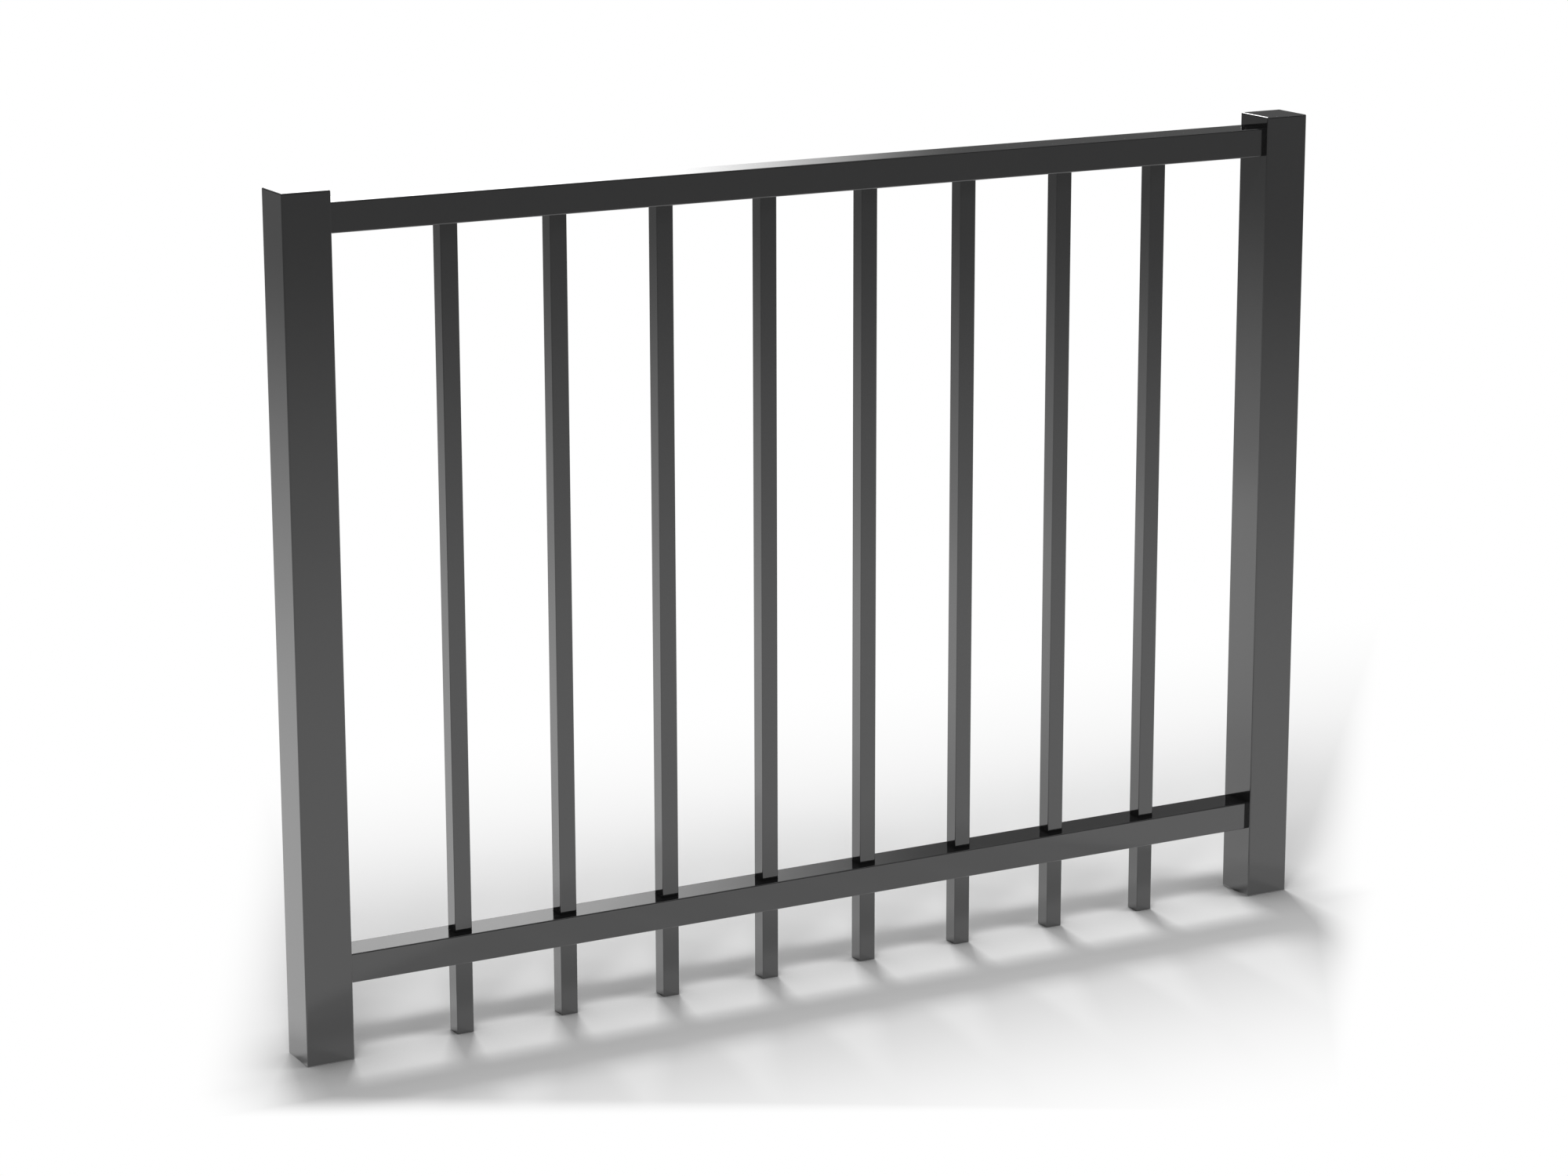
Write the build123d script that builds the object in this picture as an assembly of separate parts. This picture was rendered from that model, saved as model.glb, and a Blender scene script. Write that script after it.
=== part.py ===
from build123d import *

import os

# Welded fence panel: two square posts, two rails and a row of square pickets.
# X runs along the fence, Y from the front to the back, Z up.
# The origin is the centre of the left post's foot, on the ground.

# Overall layout
fence_height = 900.0  # ground to the top of the post caps
picket_count = 8
picket_pitch = 121.0  # centre to centre
end_gap = 123.0  # clear gap between a post and the picket next to it
top_rail_drop = 13.0  # post top down to the top of the top rail
ground_gap = 80.5  # ground up to the underside of the bottom rail

# Posts, a square tube
post_size = 52.0
post_wall = 2.5
post_corner_radius = 1.5

# Rails, a flat-laid rectangular tube
rail_depth = 39.5  # front to back
rail_height = 31.0
rail_wall = 2.0
rail_corner_radius = 1.2

# Pickets, a square tube
picket_size = 19.0
picket_wall = 1.5
picket_corner_radius = 1.0
punch_clearance = 0.25  # all round a picket in its punched hole
picket_head_clearance = 0.3  # picket top to the underside of the rail's top wall

# Caps and foot plugs: a head flush with the tube, and a hollow skirt inside it
post_cap_head = 3.0
post_cap_skirt = 16.0
post_skirt_wall = 2.0
picket_plug_head = 2.5
picket_plug_skirt = 12.0
picket_skirt_wall = 1.5
skirt_clearance = 0.2  # skirt to the inside of its tube
skirt_corner_chamfer = 1.2  # clears the tube's inside corner
skirt_draft = 1.5  # degrees of taper towards the skirt's inner end
cap_edge_radius = 1.5  # round the top of a post
foot_edge_chamfer = 0.8  # round the underside of every foot plug

# Places that follow from the sizes
clear_width = (picket_count - 1) * picket_pitch + picket_size + 2 * end_gap
post_spacing = clear_width + post_size
rail_start = post_size / 2
picket_first_x = rail_start + end_gap + picket_size / 2
top_rail_base = fence_height - top_rail_drop - rail_height
picket_top = top_rail_base + rail_height - rail_wall - picket_head_clearance
picket_positions = [picket_first_x + i * picket_pitch for i in range(picket_count)]


def inner_radius(outer_radius, wall):
    """Radius of a tube's inside corner: the outside one less the wall, but never sharp."""
    return max(outer_radius - wall, 0.25 * wall)


def square_tube(size, wall, corner_radius, length):
    """Upright square tube that stands on Z 0."""
    outer = RectangleRounded(size, size, corner_radius)
    bore = size - 2 * wall
    inner = RectangleRounded(bore, bore, inner_radius(corner_radius, wall))
    return extrude(outer - inner, amount=length)


def plug_head(size, corner_radius, head):
    """Flat head of a cap or plug, standing on Z 0 where its tube ends."""
    return extrude(RectangleRounded(size, size, corner_radius), amount=head)


def top_rim(block):
    return block.faces().sort_by(Axis.Z)[-1].edges()


def plug_skirt(size, wall, skirt, skirt_wall):
    """Hollow tapered skirt that hangs from Z 0 into its tube."""
    skirt_size = size - 2 * wall - 2 * skirt_clearance
    outline = Rectangle(skirt_size, skirt_size)
    outline = chamfer(outline.vertices(), skirt_corner_chamfer)
    plug = extrude(outline, amount=-skirt, taper=skirt_draft)
    cavity_size = skirt_size - 2 * skirt_wall
    cavity = extrude(Rectangle(cavity_size, cavity_size), amount=-skirt, taper=skirt_draft)
    return plug - cavity


def foot_plug(size, wall, corner_radius, head, skirt, skirt_wall):
    """Plug for the foot of a tube, with its flat head on Z 0 and its skirt pointing up."""
    block = plug_head(size, corner_radius, head)
    block = chamfer(top_rim(block), foot_edge_chamfer)
    plug = block + plug_skirt(size, wall, skirt, skirt_wall)
    return Pos(0, 0, head) * Rot(180, 0, 0) * plug


def post():
    """Post tube between its foot plug and its cap."""
    length = fence_height - 2 * post_cap_head
    tube = square_tube(post_size, post_wall, post_corner_radius, length)
    return Pos(0, 0, post_cap_head) * tube


def post_cap():
    """Cap on a post, with a rounded rim and its skirt down inside the tube."""
    block = plug_head(post_size, post_corner_radius, post_cap_head)
    block = fillet(top_rim(block), cap_edge_radius)
    cap = block + plug_skirt(post_size, post_wall, post_cap_skirt, post_skirt_wall)
    return Pos(0, 0, fence_height - post_cap_head) * cap


def post_foot():
    return foot_plug(
        post_size,
        post_wall,
        post_corner_radius,
        post_cap_head,
        post_cap_skirt,
        post_skirt_wall,
    )


def picket():
    """Picket tube from its foot plug up into the top rail."""
    length = picket_top - picket_plug_head
    tube = square_tube(picket_size, picket_wall, picket_corner_radius, length)
    return Pos(0, 0, picket_plug_head) * tube


def picket_foot():
    return foot_plug(
        picket_size,
        picket_wall,
        picket_corner_radius,
        picket_plug_head,
        picket_plug_skirt,
        picket_skirt_wall,
    )


def rail_tube():
    """Rail along X between the posts' inner faces, with its underside on Z 0."""
    section = Plane.YZ.offset(rail_start)
    outer = RectangleRounded(rail_depth, rail_height, rail_corner_radius)
    bore = RectangleRounded(
        rail_depth - 2 * rail_wall,
        rail_height - 2 * rail_wall,
        inner_radius(rail_corner_radius, rail_wall),
    )
    return extrude(section * Pos(0, rail_height / 2) * (outer - bore), amount=clear_width)


def picket_punches(from_z, to_z):
    """Square punches for every picket, to cut a rail's walls between two heights."""
    hole = picket_size + 2 * punch_clearance
    punch = extrude(Rectangle(hole, hole), amount=to_z - from_z)
    return [Pos(x, 0, from_z) * punch for x in picket_positions]


def top_rail():
    """Top rail, punched through its bottom wall only, so its top stays whole."""
    punches = picket_punches(-rail_wall, rail_height / 2)
    return Pos(0, 0, top_rail_base) * (rail_tube() - punches)


def bottom_rail():
    """Bottom rail, punched through both walls: the pickets run on down to the ground."""
    punches = picket_punches(-rail_wall, rail_height + rail_wall)
    return Pos(0, 0, ground_gap) * (rail_tube() - punches)


pieces = {
    "top_rail": top_rail(),
    "bottom_rail": bottom_rail(),
}
for side, x in (("left", 0.0), ("right", post_spacing)):
    pieces[f"{side}_post"] = Pos(x, 0, 0) * post()
    pieces[f"{side}_post_cap"] = Pos(x, 0, 0) * post_cap()
    pieces[f"{side}_post_foot"] = Pos(x, 0, 0) * post_foot()
for number, x in enumerate(picket_positions, start=1):
    pieces[f"picket_{number}"] = Pos(x, 0, 0) * picket()
    pieces[f"picket_{number}_foot"] = Pos(x, 0, 0) * picket_foot()

os.makedirs("parts", exist_ok=True)
for name, piece in pieces.items():
    export_step(piece, f"parts/{name}.step")
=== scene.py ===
# Welded fence panel in glossy graphite powder coat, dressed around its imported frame
import math

import bpy
import numpy as np
from mathutils import Matrix, Vector


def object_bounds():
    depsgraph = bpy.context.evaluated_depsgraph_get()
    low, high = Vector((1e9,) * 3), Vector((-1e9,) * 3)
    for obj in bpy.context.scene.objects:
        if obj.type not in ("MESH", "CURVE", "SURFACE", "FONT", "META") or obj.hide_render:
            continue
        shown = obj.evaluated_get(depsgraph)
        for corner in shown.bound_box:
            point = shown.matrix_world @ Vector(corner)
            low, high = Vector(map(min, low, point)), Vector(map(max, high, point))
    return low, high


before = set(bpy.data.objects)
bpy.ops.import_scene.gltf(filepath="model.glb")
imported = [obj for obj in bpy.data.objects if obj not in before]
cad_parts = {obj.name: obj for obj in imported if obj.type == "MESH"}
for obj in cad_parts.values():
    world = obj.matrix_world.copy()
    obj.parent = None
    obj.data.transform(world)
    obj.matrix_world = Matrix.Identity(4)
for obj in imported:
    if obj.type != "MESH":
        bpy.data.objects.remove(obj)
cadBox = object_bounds()
print("frame loaded:", len(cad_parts), "nodes")

white = (1.0, 1.0, 1.0, 1.0)
black = (0.0, 0.0, 0.0, 1.0)


class Wire:  # a shader socket that can be written in sums
    def __init__(self, shader, socket):
        self.shader = shader
        self.socket = socket

    def maths(self, operation, *values):
        return self.shader.node("ShaderNodeMath", {"operation": operation}, dict(enumerate(values)))

    def __add__(self, other):
        return self.maths("ADD", self, other)

    __radd__ = __add__

    def __mul__(self, other):
        return self.maths("MULTIPLY", self, other)

    __rmul__ = __mul__

    def __sub__(self, other):
        return self.maths("SUBTRACT", self, other)

    def __rsub__(self, other):
        return self.maths("SUBTRACT", other, self)

    def __truediv__(self, other):
        return self.maths("DIVIDE", self, other)

    def __rtruediv__(self, other):
        return self.maths("DIVIDE", other, self)

    def larger(self, other):
        return self.maths("MAXIMUM", self, other)

    def clamped(self):
        return self.maths("MINIMUM", self.larger(0.0), 1.0)

    def root(self):
        return self.maths("SQRT", self)

    def ramped(self, start, end):  # 0 at start, 1 at end, with eased ends
        settings = {"interpolation_type": "SMOOTHSTEP"}
        inputs = {"Value": self, "From Min": start, "From Max": end, "To Min": 0.0, "To Max": 1.0}
        return self.shader.node("ShaderNodeMapRange", settings, inputs)


class Shader:  # one node tree, wiped and filled again
    def __init__(self, owner):
        owner.use_nodes = True
        self.tree = owner.node_tree
        self.tree.nodes.clear()

    def node(self, kind, settings=None, inputs=None, output=0):
        made = self.tree.nodes.new(kind)
        for name, value in (settings or {}).items():
            setattr(made, name, value)
        for name, value in (inputs or {}).items():
            if isinstance(value, Wire):
                self.tree.links.new(value.socket, made.inputs[name])
            else:
                made.inputs[name].default_value = value
        return Wire(self, made.outputs[output]) if made.outputs else None

    def place(self, kind):  # the three parts of Object or Generated coordinates
        vector = self.node("ShaderNodeTexCoord", output=kind)
        return [self.node("ShaderNodeSeparateXYZ", None, {0: vector}, axis) for axis in range(3)]

    def mixColour(self, factor, first, second):  # 0, 6 and 7 are the sockets of a mix of colours
        inputs = {0: factor, 6: first, 7: second}
        return self.node("ShaderNodeMix", {"data_type": "RGBA"}, inputs, output=2)

    def rays(self, kind):  # 1 on rays of one kind: Camera, Glossy or Transmission
        return self.node("ShaderNodeLightPath", output=f"Is {kind} Ray")

    def noise(self, vector, scale, detail, roughness):
        inputs = {"Vector": vector, "Scale": scale, "Detail": detail, "Roughness": roughness}
        return self.node("ShaderNodeTexNoise", None, inputs)


# Powder coat: graphite pigment under a glossy cured skin, with the faint skin texture of the gun.
# Each noise has its scale per metre, its detail and its roughness.
powderCoat = {
    "pigment": (0.012, 0.012, 0.0125, 1.0),
    "palePigment": (0.016, 0.016, 0.0165, 1.0),
    "clouds": (9.0, 4.0, 0.6),  # between the two pigments
    "gloss": (0.09, 0.14),  # roughness of the skin, from clean to smudged
    "smudges": (14.0, 5.0, 0.62),
    "smudgeRange": (0.3, 0.7),  # where in the noise the skin is clean, and where smudged
    "peel": (420.0, 1.0, 0.4),  # orange peel, about 2.4 mm from crest to crest
    "peelHeight": 0.000006,
    "grain": (2600.0, 1.0, 0.5),
    "grainHeight": 0.0000015,
    "index": 1.55,
    "skinRoughness": 0.07,
}


def makePowderCoat(name, spec):
    material = bpy.data.materials.new(name)
    shader = Shader(material)
    vector = shader.node("ShaderNodeTexCoord", output="Object")
    clouds = shader.noise(vector, *spec["clouds"])
    colour = shader.mixColour(clouds, spec["pigment"], spec["palePigment"])
    clean, smudged = spec["gloss"]
    start, end = spec["smudgeRange"]
    smudges = (shader.noise(vector, *spec["smudges"]) - start).clamped()
    roughness = clean + smudges * ((smudged - clean) / (end - start))
    peel = shader.noise(vector, *spec["peel"])
    grain = shader.noise(vector, *spec["grain"])
    height = peel * spec["peelHeight"] + grain * spec["grainHeight"]
    bump = shader.node("ShaderNodeBump", None, {"Strength": 1.0, "Distance": 1.0, "Height": height})
    inputs = {
        "Base Color": colour,
        "Roughness": roughness,
        "IOR": spec["index"],
        "Coat Weight": 1.0,
        "Coat Roughness": spec["skinRoughness"],
        "Coat IOR": spec["index"],
        "Normal": bump,
    }
    surface = shader.node("ShaderNodeBsdfPrincipled", None, inputs)
    shader.node("ShaderNodeOutputMaterial", None, {"Surface": surface})
    return material


coat = makePowderCoat("powder_coat", powderCoat)
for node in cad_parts.values():
    for slot in node.material_slots:
        slot.material = coat
print("powder coat on", len(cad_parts), "nodes")


# Floor: one big pale sheet. Close round the fence it is plain lit paint that takes the shadows,
# and farther out it eases into pure white paper. In the metal's reflections the paper and the paint under
# it darken again far from the fence, a painted falloff of light, except on the side that the photograph
# looks towards.
# Lengths are in metres, and each pair gives where a change begins and where it ends, unless its note says
# otherwise.
floorSheet = {
    "reach": 30.0,  # half its width
    "steps": 60,
    "paint": (0.90, 0.90, 0.90, 1.0),
    "whiteLeft": (-0.011, -0.166),  # from paint to paper, left of the fence
    "whiteRight": (1.182, 1.29),
    "whiteInFront": (-0.024, -0.615),
    "whiteBehind": (-0.019, 1.019),
    "leftSlants": (1.90, 0.467),  # how far the left border closes in for each metre in front, behind
    "leftSlantsFrom": (0.112, -0.049),  # and from what distance on, in front, behind
    "rightSlants": (0.838, -0.772),  # and so the right border, which opens behind
    "rightSlantsFrom": (0.078, -0.042),
    "darkFrom": (0.0, 5.4),  # distance from the fence over which the paper darkens
    "darkBehind": 0.77,  # how much of the white is gone at that end
    "darkInFront": 0.69,
    "inFront": (0.0, 0.5),  # distance in front at which that share takes over
    "paintLost": 4.0,  # how many times sooner the paint under the paper goes black in that painted falloff
    "seenLeft": (-0.9, -0.3),  # left border of what the photograph sees, at the fence line
    "seenSlant": 0.32,  # how far it moves right for each metre behind
    "seenBehind": (-0.2, 0.2),
    "paintedShadeReach": 0.08,  # how close the fence covers the floor where the paint is darkened round the feet as a painted contact shadow
    "paintedShade": 1.1,  # how much of its light the paint loses to that painted shade where all is covered
    "paintedShadeSamples": 8,
    "metalSees": 0.55,  # least share of white paper that shows in glossy metal
    "metalFrom": (0.0, 0.02),  # distance from the fence line over which that sets in
}


def makeFloor(spec):
    # a flat grid at height zero, evenly stepped to both sides of the fence's middle
    middle = (cadBox[0] + cadBox[1]) / 2
    steps = spec["steps"]
    side = np.linspace(-spec["reach"], spec["reach"], steps + 1)
    x, y = np.meshgrid(side + middle[0], side + middle[1], indexing="ij")
    points = np.stack([x.ravel(), y.ravel(), np.zeros(x.size)], axis=1)
    row = steps + 1
    corner = (np.arange(steps)[:, None] * row + np.arange(steps)).ravel()
    faces = np.stack([corner, corner + row, corner + row + 1, corner + 1], axis=1)
    mesh = bpy.data.meshes.new("floor")
    mesh.from_pydata(points.tolist(), [], faces.tolist())
    mesh.materials.append(makeFloorPaint("floor", spec))
    floor = bpy.data.objects.new("floor", mesh)
    bpy.context.scene.collection.objects.link(floor)


def makeFloorPaint(name, spec):
    material = bpy.data.materials.new(name)
    shader = Shader(material)
    across, behind, _ = shader.place("Object")
    inFront = 0.0 - behind
    camera = shader.rays("Camera")
    glossy = shader.rays("Glossy")
    glass = shader.rays("Transmission")

    # share of white paper: the larger of four ramps, of which the left and right ones slant
    left = right = across
    for index, way in enumerate((inFront, behind)):
        left = left - (way - spec["leftSlantsFrom"][index]).larger(0.0) * spec["leftSlants"][index]
        right = right + (way - spec["rightSlantsFrom"][index]).larger(0.0) * spec["rightSlants"][index]
    paper = left.ramped(*spec["whiteLeft"]).larger(right.ramped(*spec["whiteRight"]))
    paper = paper.larger(behind.ramped(*spec["whiteInFront"])).larger(behind.ramped(*spec["whiteBehind"]))

    # painted falloff of light: share of it that is lost with the distance from the fence, but not to the
    # camera
    beside = (cadBox[0][0] - across).larger(across - cadBox[1][0]).larger(0.0)
    far = (behind * behind + beside * beside).root().ramped(*spec["darkFrom"])
    front = inFront.ramped(*spec["inFront"])
    dark = far * (spec["darkBehind"] - front * (spec["darkBehind"] - spec["darkInFront"]))
    inSight = (across - behind * spec["seenSlant"]).ramped(*spec["seenLeft"])
    inSight = inSight * behind.ramped(*spec["seenBehind"])
    lost = dark * (1.0 - inSight) * (1.0 - camera)

    # paper is seen, not lit: other rays meet the paint
    metal = glossy * behind.larger(inFront).ramped(*spec["metalFrom"]) * spec["metalSees"]
    shown = (1.0 - lost) * (paper * camera.larger(glossy).larger(glass)).larger(metal)

    # painted shade: the paint darkens with the lost paper, and is darkened as a painted contact shadow
    # where the fence covers it close round the feet
    around = {"Distance": spec["paintedShadeReach"]}
    samples = {"samples": spec["paintedShadeSamples"]}
    bare = shader.node("ShaderNodeAmbientOcclusion", samples, around, output="AO")
    paintedDarkening = (lost * spec["paintLost"]).larger((1.0 - bare) * spec["paintedShade"]).clamped()
    colour = shader.mixColour(paintedDarkening, spec["paint"], black)
    paint = shader.node("ShaderNodeBsdfDiffuse", None, {"Color": colour})
    glow = shader.node("ShaderNodeEmission", None, {"Color": white, "Strength": 1.0})
    surface = shader.node("ShaderNodeMixShader", None, {0: shown, 1: paint, 2: glow})
    shader.node("ShaderNodeOutputMaterial", None, {"Surface": surface})
    return material


makeFloor(floorSheet)
print("floor laid")


# Studio light: neutral soft boxes aimed at the middle of the fence line
softBoxes = {
    "backRight": {
        "azimuth": 16.9,  # degrees from straight behind the fence towards its right end
        "elevation": 36.4,
        "away": 5.67,  # metres
        "size": (1.54, 0.98),
        "watts": 194.0,
    },
    "frontLeft": {
        "azimuth": 216.3,
        "elevation": 61.7,
        "away": 6.52,
        "size": (1.41, 1.49),
        "watts": 131.0,
    },
    "frontRight": {
        "azimuth": 120.5,
        "elevation": 45.7,
        "away": 2.96,
        "size": (1.03, 0.30),
        "watts": 15.9,
    },
    "overhead": {
        "azimuth": 13.6,
        "elevation": 83.1,
        "away": 3.47,
        "size": (3.2, 0.91),
        "watts": 3.2,
    },
}


def makeSoftBox(name, spec):
    lamp = bpy.data.lights.new(name, "AREA")
    lamp.shape = "RECTANGLE"
    lamp.size, lamp.size_y = spec["size"]
    lamp.energy = spec["watts"]
    azimuth = math.radians(spec["azimuth"])
    elevation = math.radians(spec["elevation"])
    level = math.cos(elevation)
    out = Vector((math.sin(azimuth) * level, math.cos(azimuth) * level, math.sin(elevation)))
    middle = Vector(((cadBox[0][0] + cadBox[1][0]) / 2, 0.0, 0.0))
    box = bpy.data.objects.new(name, lamp)
    box.location = middle + out * spec["away"]
    box.rotation_euler = out.to_track_quat("Z", "Y").to_euler()
    box.visible_glossy = False  # the gloss shows the paper and the surroundings, not the lamps
    bpy.context.scene.collection.objects.link(box)


for name, spec in softBoxes.items():
    makeSoftBox(name, spec)
print("soft boxes on:", len(softBoxes))


# Surroundings, which light nothing: the camera and glass see plain white, and glossy metal sees
# a dim grey room with a pale ceiling, and behind the fence a white wall with a soft box over it.
# A direction has a height, and a sideways part, measured over its backwards part. Each pair
# gives where a thing begins to show and where it shows in full.
surroundings = {
    "room": 0.03,
    "ceiling": 0.45,
    "ceilingFoot": (0.46, 0.72),  # height
    "haze": 0.07,  # added low down behind the fence, to the right
    "hazeLeft": (0.0, 0.3),  # sideways
    "hazeTop": (0.45, 0.30),
    "wallLow": 2.2,  # the wall's light near the horizon
    "wallHigh": 0.92,  # and higher up
    "wallHeights": (0.14, 0.31),  # from the one to the other
    "wallLeft": (-0.30, -0.10),
    "wallRight": (0.605, 0.447),
    "wallTop": (0.50, 0.38),
    "box": 12.0,  # the soft box, as the left rims of the caps show it
    "boxLeft": (-0.30, -0.20),
    "boxRight": (0.42, 0.34),
    "boxFoot": (0.44, 0.48),
    "boxTop": (0.66, 0.62),
    "backwards": (0.0, 0.1),  # all but the room and the ceiling is behind the fence
    "leastBackwards": 0.02,
}


def makeSurroundings(spec):
    world = bpy.data.worlds.new("surroundings")
    bpy.context.scene.world = world
    shader = Shader(world)
    across, behind, height = shader.place("Generated")
    backwards = behind.ramped(*spec["backwards"])
    sideways = across / behind.larger(spec["leastBackwards"])
    haze = backwards * height.ramped(*spec["hazeTop"]) * sideways.ramped(*spec["hazeLeft"])
    wall = backwards * sideways.ramped(*spec["wallLeft"]) * sideways.ramped(*spec["wallRight"])
    wall = wall * height.ramped(*spec["wallTop"])
    wallLight = spec["wallLow"] - height.ramped(*spec["wallHeights"]) * (spec["wallLow"] - spec["wallHigh"])
    box = backwards * sideways.ramped(*spec["boxLeft"]) * sideways.ramped(*spec["boxRight"])
    box = box * height.ramped(*spec["boxFoot"]) * height.ramped(*spec["boxTop"])
    ceiling = height.ramped(*spec["ceilingFoot"])
    shown = spec["room"] + ceiling * spec["ceiling"] + haze * spec["haze"] + wall * wallLight
    shown = shown + box * spec["box"]
    strength = (shown * shader.rays("Glossy")).larger(shader.rays("Camera"))
    strength = strength.larger(shader.rays("Transmission"))
    light = shader.node("ShaderNodeBackground", None, {"Color": white, "Strength": strength})
    shader.node("ShaderNodeOutputWorld", None, {"Surface": light})


makeSurroundings(surroundings)
bpy.context.scene.view_settings.view_transform = "Standard"
print("surroundings set")


# Camera: where the photograph was taken from, found from the fence's own edges
photoView = {
    "eye": (-1.5319, -3.8053, 1.4997),
    "aim": (0.5442, 0.0004, 0.4318),
    "roll": -0.108,  # degrees
    "lens": 96.05,
    "sensorWidth": 36.0,
}


def makeCamera(spec):
    lens = bpy.data.cameras.new("photoView")
    lens.lens = spec["lens"]
    lens.sensor_width = spec["sensorWidth"]
    camera = bpy.data.objects.new("photoView", lens)
    eye = Vector(spec["eye"])
    back = (eye - Vector(spec["aim"])).normalized()
    turn = back.to_track_quat("Z", "Y").to_matrix() @ Matrix.Rotation(math.radians(spec["roll"]), 3, "Z")
    camera.matrix_world = Matrix.Translation(eye) @ turn.to_4x4()
    bpy.context.scene.collection.objects.link(camera)
    bpy.context.scene.camera = camera


makeCamera(photoView)
print("camera set")
